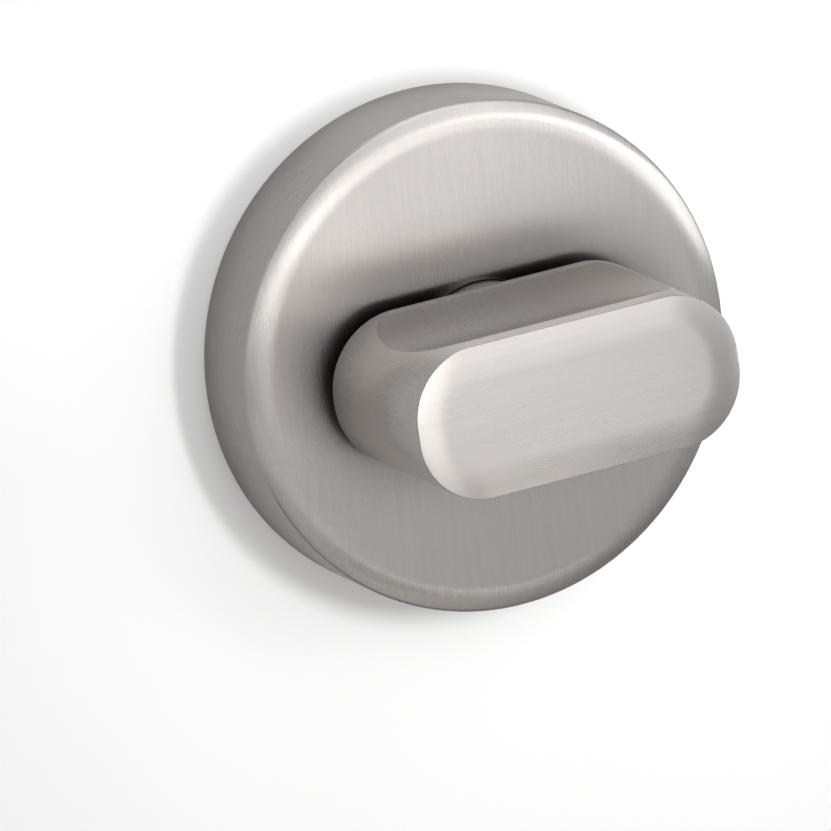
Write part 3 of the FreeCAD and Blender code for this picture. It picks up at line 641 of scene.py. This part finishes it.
def oblong_outline(half_length, half_width, corner, clip):
    """Outlines of a box with round corners whose long sides are cut back to clip.

    For each row: up the end at x = a, round the corner a - r + r * cos t, b - r + r * sin t
    until it meets the cut side z = clip, and along that side to x = 0. A short step breaks
    the edge between corner and side. The other three quarters mirror the first.
    """
    a, b, r, w = (np.asarray(v, float)[:, None] for v in (half_length, half_width, corner, clip))
    end_count, arc_count, side_count = 5, 34, 26
    middle_x, middle_z = a - r, b - r
    step = 0.12 * MM
    turn_end = np.arcsin(np.clip((w - middle_z) / r, 0, 1))
    side_end = middle_x + r * np.cos(turn_end)
    up = np.linspace(0, 1, end_count, endpoint=False)[None]
    end_z = middle_z * up
    end_x = np.broadcast_to(a, end_z.shape)
    bend = 1 - (1 - np.linspace(0, 1, arc_count)) ** 1.25
    turn = bend[None] * (turn_end - step / r)
    arc_x, arc_z = middle_x + r * np.cos(turn), middle_z + r * np.sin(turn)
    along = 1 - np.linspace(0, 1, side_count)[None] ** 1.7
    side_x = (side_end - step) * along
    side_z = np.broadcast_to(w, side_x.shape)
    x = np.concatenate([end_x, arc_x, side_x], 1)
    z = np.concatenate([end_z, arc_z, side_z], 1)
    return mirrored_quarters(x, z)


def mirrored_quarters(x, z):
    """A closed outline from its first quarter, which runs from the x axis to the z axis."""
    forward, back = slice(None, -1), slice(None, 0, -1)
    whole_x = [x[:, forward], -x[:, back], -x[:, forward], x[:, back]]
    whole_z = [z[:, forward], z[:, back], -z[:, forward], -z[:, back]]
    return np.concatenate(whole_x, 1), np.concatenate(whole_z, 1)


def head_rows(head):
    """Height and inset for each row of the head, from back to front.

    The face swells as rise * (1 - (1 - t / width)^2) at a distance t inside the crease. The
    rows of the side lie closest at the two ends of the grip, m - (c + d) * cos t.
    """
    back, crease, top = head.back_height, head.crease_height, head.top_height
    rise, width = top - crease, head.face_roll
    bevel, edge, inner = 0.3 * MM, 0.11 * MM, 6.0 * MM
    after_bevel, before_edge, past_grip = 0.1 * MM, 0.06 * MM, 0.35 * MM
    lean = np.radians(np.linspace(0, 90, 7))
    back_edge = np.stack([back + bevel - bevel * np.cos(lean), bevel * (1 - np.sin(lean))], -1)
    reach = head.grip_chord / 2
    middle = crease - head.grip_lip - reach
    wave = middle - (reach + past_grip) * np.cos(np.linspace(0, math.pi, 74))
    side = np.concatenate([
        np.linspace(back + bevel + after_bevel, wave[0], 4)[:-1], wave,
        np.linspace(wave[-1], crease - edge - before_edge, 6)[1:],
    ])
    side = np.stack([side, np.zeros_like(side)], -1)

    def swell(inset):
        return rise * (1 - (1 - np.minimum(inset / width, 1)) ** 2)

    rounding = np.stack([
        crease - edge + (edge + swell(edge)) * np.sin(lean), edge * (1 - np.cos(lean)),
    ], -1)
    inset = edge + (inner - edge) * np.linspace(0, 1, 40)[1:] ** 1.3
    face = np.stack([crease + swell(inset), inset], -1)
    return np.concatenate([back_edge, side, rounding, face])


def make_head(head):
    """The head as a stack of outlines: drafted sides, scooped grips and a swelling face.

    At a height h the half width is cut back to the grip's cylinder, which lies along the
    head: f + R - sqrt(R^2 - (h - m)^2), with f the half width left at the middle height m.
    The sides are brushed from back to front, the face lengthwise.
    """
    rows = head_rows(head)
    height, inset = rows[:, 0], rows[:, 1]
    share = np.clip(
        (height - head.back_height) / (head.crease_height - head.back_height), 0, 1
    )
    half_length = head.back_half_length + share * (head.front_half_length - head.back_half_length)
    half_width = head.back_half_width + share * (head.front_half_width - head.back_half_width)
    corner = head.back_corner + share * (head.front_corner - head.back_corner)
    reach = head.grip_chord / 2
    radius = (reach ** 2 + head.grip_depth ** 2) / (2 * head.grip_depth)
    middle = head.crease_height - head.grip_lip - reach
    floor = (head.back_half_width + head.front_half_width) / 2 - head.grip_depth
    away = np.clip(height - middle, -radius, radius)
    grip = floor + radius - np.sqrt(radius ** 2 - away ** 2)
    rim, slack = 0.16 * MM, 0.02 * MM
    clip = soft_minimum(half_width, grip, rim) - inset
    x, z = oblong_outline(half_length - inset, half_width - inset, corner - inset, clip)
    grid = np.stack([x, np.broadcast_to(-height[:, None], x.shape), z], -1)

    ring = np.concatenate([grid, grid[:, :1]], 1)
    around = length_along(ring)
    up = np.concatenate([[0], np.cumsum(np.linalg.norm(np.diff(rows, axis=0), axis=1))])
    side = np.stack([np.broadcast_to(up[:, None], around.shape), around], -1)
    face = ring[..., [0, 2]]
    on_face = (height > head.crease_height - slack)[:, None, None]
    cut = ((half_width - inset - clip) / head.grip_depth)[:, None]
    recess = np.where(np.abs(z) > clip[:, None] - 1e-7, cut, 0)
    grid_piece(
        "turn_head", grid, "turn", "thumb_turn", "satin_steel", 60,
        np.where(on_face, face, side), recess,
    )


def stem_profile(head):
    """Section of neck and journal as (radius, height), from inside the head to the door.

    The flats end between two rows that lie close together at JOURNAL_FLATS_TOP.
    """
    neck, journal = head.neck_radius, head.journal_radius
    groove, bevel, end = 5.7 * MM, 0.3 * MM, 0.2 * MM
    groove_top, groove_foot = 2.15 * MM, 1.05 * MM
    shoulder, top, hidden = 8.85 * MM, 14.0 * MM, 17.2 * MM
    flats, step, close = JOURNAL_FLATS_TOP, 0.01 * MM, 0.03 * MM
    return join_profile(
        straight((journal, hidden), (journal, top)),
        straight((journal, top), (neck, top)),
        straight((neck, top), (neck, shoulder + bevel / 2), 4),
        straight((neck, shoulder + bevel / 2), (neck - bevel / 2, shoulder), 2, 0.02 * MM),
        straight((neck - bevel / 2, shoulder), (journal, shoulder)),
        straight((journal, shoulder), (journal, flats + 3 * step), 4),
        np.array([(journal, flats + step), (journal, flats - step)]),
        straight((journal, flats - 4 * step), (journal, groove_top)),
        straight((journal, groove_top), (groove, groove_top), 2, close),
        straight((groove, groove_top), (groove, groove_foot)),
        straight((groove, groove_foot), (journal, groove_foot), 2, close),
        straight((journal, groove_foot), (journal, end + bevel)),
        straight((journal, end + bevel), (journal - bevel, end), 2, close),
    )


def make_stem(head):
    """Neck and journal, with two flats and the square socket.

    The turned radius r becomes min(r, f / |sin t|) below the top of the flats, f being half
    the distance across them. The socket's square is q / max(|cos t|, |sin t|).
    """
    half_flats, half_square = 5.2 * MM, 3.06 * MM
    lead_in, halfway, bottom = 0.15 * MM, 8 * MM, 16.2 * MM
    turns = np.radians(np.arange(0, 360, 1.25))
    profile = stem_profile(head)
    radius = np.broadcast_to(profile[:, 0, None], (len(profile), len(turns))).copy()
    height = profile[:, 1]
    across = half_flats / np.maximum(np.abs(np.sin(turns)), 1e-6)
    flat_rows = height < JOURNAL_FLATS_TOP
    radius[flat_rows] = np.minimum(radius[flat_rows], across)
    square = half_square / np.maximum(np.abs(np.cos(turns)), np.abs(np.sin(turns)))
    end = height[-1]
    lead = np.stack([square + lead_in, square, square, square])
    depth = np.array([end, end + lead_in, end + halfway, bottom])
    radius = np.concatenate([radius, lead])
    height = np.concatenate([height, depth])
    x, z = radius * np.cos(turns), radius * np.sin(turns)
    grid = np.stack([x, np.broadcast_to(-height[:, None], x.shape), z], -1)
    around = np.append(turns, turns[0] + FULL_TURN)
    brush = np.stack(np.broadcast_arrays(head.neck_radius * around[None], height[:, None]), -1)
    grid_piece("turn_stem", grid, "turn", "thumb_turn", "satin_steel", 30, brush)


class OBJECT_OT_thumb_turn_handle(bpy.types.Operator):
    """Make the turn: its scooped head, its neck and its journal"""

    bl_idname = "object.thumb_turn_handle"
    bl_label = "Thumb Turn"
    bl_options = {"REGISTER", "UNDO"}

    def execute(self, context):
        head = context.scene.thumb_turn_head
        make_head(head)
        make_stem(head)
        return {"FINISHED"}


# ---------------------------------------------------------------- fixing screws


def screw_profile():
    """Thread, shank and head of a fixing screw as (radius, height), from its tip up.

    The thread's crest is wound in afterwards, so its rows are only evenly spaced here.
    """
    seat, head, shank, crown = 7.4 * MM, SCREW_RADIUS, SCREW_SHANK, SCREW_CROWN
    thread_end, run_out, edge = -8.3 * MM, 0.05 * MM, 0.1 * MM
    rows = np.linspace(-SCREW_TIP, thread_end, 480)
    return join_profile(
        np.stack([np.full_like(rows, SCREW_THREAD), rows], -1),
        straight((shank, thread_end + run_out), (shank, seat), 5),
        straight((shank, seat), (head - edge, seat)),
        arc((head - edge, seat + edge), edge, -90, 0, 5),
        straight((head, seat + edge), (head, SCREW_TOP - crown)),
        arc((head - crown, SCREW_TOP - crown), crown, 0, 90, 10),
    ), len(rows)


def make_screw(name, node, across):
    """Pan head screw with its helical thread and cross recess.

    In the thread the radius is c - d * g, where c is the crest's radius, d the thread's depth
    and g a flat-topped wave of the phase h / pitch - t / 2 pi. At both ends it fades into the
    shank's radius. The recess is a floor that rises steeply at the edge of two crossed slots.
    """
    pitch, thread_depth, crest_share, fade_rows = 0.7 * MM, 0.42 * MM, 0.12, 10
    slot_reach, slot_half, slot_depth, slot_wall = 2.1 * MM, 0.5 * MM, 1.4 * MM, 0.22 * MM
    profile, thread_rows = screw_profile()
    turns = np.linspace(0, FULL_TURN, 40, endpoint=False)
    height = profile[:, 1, None]
    phase = np.abs((height / pitch - turns / FULL_TURN) % 1.0 - 0.5) * 2
    wave = np.clip((phase - crest_share) / (1 - 2 * crest_share), 0, 1)
    rows = np.arange(len(profile))[:, None]
    fade = np.clip(np.minimum(rows, thread_rows - 1 - rows) / fade_rows, 0, 1)
    ends = (SCREW_THREAD - SCREW_SHANK) * (1 - fade)
    cut = np.where(rows < thread_rows, ends + thread_depth * wave * fade, 0)
    radius = profile[:, 0, None] - cut
    rings = (SCREW_RADIUS - SCREW_CROWN) * (1 - np.linspace(0, 1, 34)[1:-1])
    top = np.full((len(rings), len(turns)), SCREW_TOP)
    u, v = rings[:, None] * np.cos(turns), rings[:, None] * np.sin(turns)
    slot_one = np.maximum(np.abs(u) - slot_reach, np.abs(v) - slot_half)
    slot_two = np.maximum(np.abs(v) - slot_reach, np.abs(u) - slot_half)
    edge = np.minimum(slot_one, slot_two)
    top -= slot_depth * np.clip(-edge / slot_wall, 0, 1)
    radius = np.concatenate([radius, np.broadcast_to(rings[:, None], top.shape)])
    height = np.concatenate([np.broadcast_to(height, (len(profile), len(turns))), top])
    x, z = across + radius * np.cos(turns), radius * np.sin(turns)
    grid = np.stack([x, -height, z], -1)
    grid_piece(name, grid, "rose", node, "plated_steel", 32)


class OBJECT_OT_thumb_turn_screws(bpy.types.Operator):
    """Make the two fixing screws"""

    bl_idname = "object.thumb_turn_screws"
    bl_label = "Fixing Screws"
    bl_options = {"REGISTER", "UNDO"}

    def execute(self, context):
        make_screw("screw_left", "fixing_screw_left", -SCREW_OFFSET)
        make_screw("screw_right", "fixing_screw_right", SCREW_OFFSET)
        return {"FINISHED"}


# ---------------------------------------------------------------- stage


def add_soft_box(name, across, up, distance, radiance, tint):
    """A soft box in front of the wall and parallel to it.

    across and up are its lowest and highest x and z. Power = pi * area * radiance.
    """
    light = bpy.data.lights.new(name, "AREA")
    light.shape = "RECTANGLE"
    light.size, light.size_y = across[1] - across[0], up[1] - up[0]
    light.energy = math.pi * light.size * light.size_y * radiance
    light.color = tint
    lamp = bpy.data.objects.new(name, light)
    bpy.context.scene.collection.objects.link(lamp)
    lamp.location = (sum(across) / 2, -distance, sum(up) / 2)
    lamp.rotation_euler = (math.radians(90), 0, 0)
    lamp.visible_camera = False
    return lamp


def white_surface(name, tint, lift):
    """Plain pale surface, lifted to white where it is seen, and clear from behind.

    The metal beside it reflects it at a lower level, as it would a door in soft light. It has
    a round hole, where the distance from the lock's axis is under DOOR_HOLE.
    """
    tree, shader = new_material(name)
    there = add_node(tree, "ShaderNodeTexCoord")
    marks = place_group(tree, "handling", there.outputs["Object"], {"Patch Size": 100 * MM})
    tinted = mix_colours(tree, marks.outputs["Patches"], shaded(tint, 0.995), shaded(tint, 1.005))
    seen = add_node(tree, "ShaderNodeLightPath").outputs["Is Camera Ray"]
    share = add_map_range(tree, seen, 0, 1, REFLECTED_SHARE, 1)
    tree.links.new(scaled_colour(tree, tinted, share), shader.inputs["Base Color"])
    shader.inputs["Roughness"].default_value = 0.6
    shader.inputs["Specular IOR Level"].default_value = 0.1
    lift_value = add_map_range(tree, seen, 0, 1, 0, lift)
    glow = add_node(tree, "ShaderNodeEmission")
    tree.links.new(lift_value, glow.inputs["Strength"])
    add = add_node(tree, "ShaderNodeAddShader")
    tree.links.new(shader.outputs["BSDF"], add.inputs[0])
    tree.links.new(glow.outputs["Emission"], add.inputs[1])
    behind = add_node(tree, "ShaderNodeNewGeometry")
    apart = add_node(tree, "ShaderNodeVectorMath", operation="LENGTH")
    tree.links.new(there.outputs["Object"], apart.inputs[0])
    edge = 0.01 * MM
    hole = add_map_range(tree, apart.outputs["Value"], DOOR_HOLE - edge, DOOR_HOLE, 1, 0)
    clear = add_node(tree, "ShaderNodeBsdfTransparent")
    mix = add_node(tree, "ShaderNodeMixShader")
    gap = combined(tree, "MAXIMUM", behind.outputs["Backfacing"], hole)
    tree.links.new(gap, mix.inputs["Fac"])
    tree.links.new(add.outputs["Shader"], mix.inputs[1])
    tree.links.new(clear.outputs["BSDF"], mix.inputs[2])
    output = tree.nodes["Material Output"]
    tree.links.new(mix.outputs["Shader"], output.inputs["Surface"])
    return material_of(name)


def add_backdrop(name, corners, material):
    """A flat sheet of the stage; its corners run anticlockwise as seen from its front."""
    mesh = bpy.data.meshes.new(name)
    mesh.from_pydata(corners, [], [tuple(range(len(corners)))])
    mesh.materials.append(material)
    sheet = bpy.data.objects.new(name, mesh)
    bpy.context.scene.collection.objects.link(sheet)
    return sheet


def add_camera():
    """Camera at the photo's angle: far away, above left of the lock's axis, and rolled."""
    azimuth, elevation, roll = (math.radians(angle) for angle in CAMERA_ANGLES)
    back = Vector((
        math.sin(azimuth) * math.cos(elevation),
        -math.cos(azimuth) * math.cos(elevation),
        math.sin(elevation),
    ))
    level = Vector((math.cos(azimuth), math.sin(azimuth), 0))
    upright = back.cross(level)
    right = level * math.cos(roll) + upright * math.sin(roll)
    up = upright * math.cos(roll) - level * math.sin(roll)
    camera = bpy.data.cameras.new("camera")
    camera.sensor_width = CAMERA_SENSOR
    camera.lens = CAMERA_LENS
    camera.clip_start, camera.clip_end = 0.1, 20.0
    holder = bpy.data.objects.new("camera", camera)
    bpy.context.scene.collection.objects.link(holder)
    place = back * CAMERA_DISTANCE + right * CAMERA_SHIFT[0] + up * CAMERA_SHIFT[1]
    turned = Matrix((right, up, back)).transposed().to_4x4()
    holder.matrix_world = Matrix.Translation(place) @ turned
    bpy.context.scene.camera = holder


class OBJECT_OT_thumb_turn_stage(bpy.types.Operator):
    """Set the camera, the soft boxes, the wall and the floor"""

    bl_idname = "object.thumb_turn_stage"
    bl_label = "Stage"
    bl_options = {"REGISTER", "UNDO"}

    def execute(self, context):
        stage = context.scene.thumb_turn_stage
        add_camera()
        # Boxes that share one plane hide each other in reflections, so each stands a little
        # further out than the last; the ones that reach below warm_under are tinted
        near, apart, far = 0.13, 0.0005, 0.33
        warm_under, lift = -0.08, 0.12
        boxes = (
            ("front_box", (-0.03, 0.056), (-0.032, 0.14), stage.front),
            ("wide_box", (-0.075, 0.135), (-0.012, 0.06), stage.wide),
            ("upper_box", (0.056, 0.135), (0.038, 0.14), stage.upper),
            ("top_box", (-0.02, 0.05), (0.14, 0.21), stage.top),
            ("middle_box", (-0.018, 0.008), (-0.085, 0.06), stage.middle),
            ("glow_box", (-0.03, -0.018), (0.004, 0.038), stage.glow),
            ("low_box", (0.032, 0.056), (-0.13, -0.085), stage.low),
            ("low_left_box", (-0.075, -0.045), (-0.13, -0.032), stage.low_left),
            ("corner_box", (-0.075, -0.045), (-0.13, -0.085), stage.corner),
            ("bounce_box", (-0.09, 0.09), (-0.32, -0.13), stage.bounce),
        )
        plain, warm = (1.0, 1.0, 1.0), tuple(stage.bounce_tint)
        for place, (name, across, up, radiance) in enumerate(boxes):
            tint = warm if up[0] < warm_under else plain
            add_soft_box(name, across, up, near + place * apart, radiance, tint)
        add_soft_box("side_key", (0.34, 0.6), (-0.06, 0.12), far, stage.side, plain)
        wall_key = add_soft_box(
            "wall_key", (0.008, 0.02), (-0.012, 0.02), near, stage.shadow, plain
        )
        wall = white_surface("wall_white", tuple(stage.wall), lift)
        half, low, high, front = 1.3, -1.0, 1.1, -1.8
        sheets = [
            add_backdrop("wall", [
                (-half, 0, low), (half, 0, low), (half, 0, high), (-half, 0, high),
            ], wall),
            add_backdrop("floor", [
                (-half, front, low), (half, front, low), (half, 0, low), (-half, 0, low),
            ], wall),
        ]
        lit = bpy.data.collections.new("lit_by_wall_key")
        for sheet in sheets:
            lit.objects.link(sheet)
        wall_key.light_linking.receiver_collection = lit
        world = bpy.data.worlds.new("room")
        world.use_nodes = True
        light = world.node_tree.nodes["Background"]
        light.inputs["Color"].default_value = (1, 1, 1, 1)
        light.inputs["Strength"].default_value = stage.world
        context.scene.world = world
        context.scene.view_settings.view_transform = "Standard"
        return {"FINISHED"}


class VIEW3D_PT_thumb_turn(bpy.types.Panel):
    """Sizes, finishes and steps of the thumb turn lock"""

    bl_idname = "VIEW3D_PT_thumb_turn"
    bl_label = "Thumb Turn Lock"
    bl_space_type = "VIEW_3D"
    bl_region_type = "UI"
    bl_category = "Thumb Turn"

    def draw(self, context):
        for owner in GROUPS:
            box = self.layout.box()
            settings = getattr(context.scene, owner)
            for name in settings.bl_rna.properties.keys():
                if name not in ("rna_type", "name"):
                    box.prop(settings, name)
        for step in STEPS:
            self.layout.operator(step.bl_idname)


GROUPS = {
    "thumb_turn_rose": ThumbTurnRose,
    "thumb_turn_head": ThumbTurnHead,
    "thumb_turn_finishes": ThumbTurnFinishes,
    "thumb_turn_stage": ThumbTurnStage,
}
STEPS = (
    OBJECT_OT_thumb_turn_finishes,
    OBJECT_OT_thumb_turn_cover,
    OBJECT_OT_thumb_turn_handle,
    OBJECT_OT_thumb_turn_screws,
    OBJECT_OT_thumb_turn_stage,
)


def register():
    for kind in (*GROUPS.values(), *STEPS, VIEW3D_PT_thumb_turn):
        bpy.utils.register_class(kind)
    for owner, kind in GROUPS.items():
        setattr(bpy.types.Scene, owner, bpy.props.PointerProperty(type=kind))


def unregister():
    for owner in GROUPS:
        delattr(bpy.types.Scene, owner)
    for kind in reversed((*GROUPS.values(), *STEPS, VIEW3D_PT_thumb_turn)):
        bpy.utils.unregister_class(kind)


def main():
    register()
    bpy.ops.object.thumb_turn_finishes()
    bpy.ops.object.thumb_turn_cover()
    bpy.ops.object.thumb_turn_handle()
    bpy.ops.object.thumb_turn_screws()
    bpy.ops.object.thumb_turn_stage()


if __name__ == "__main__":
    main()
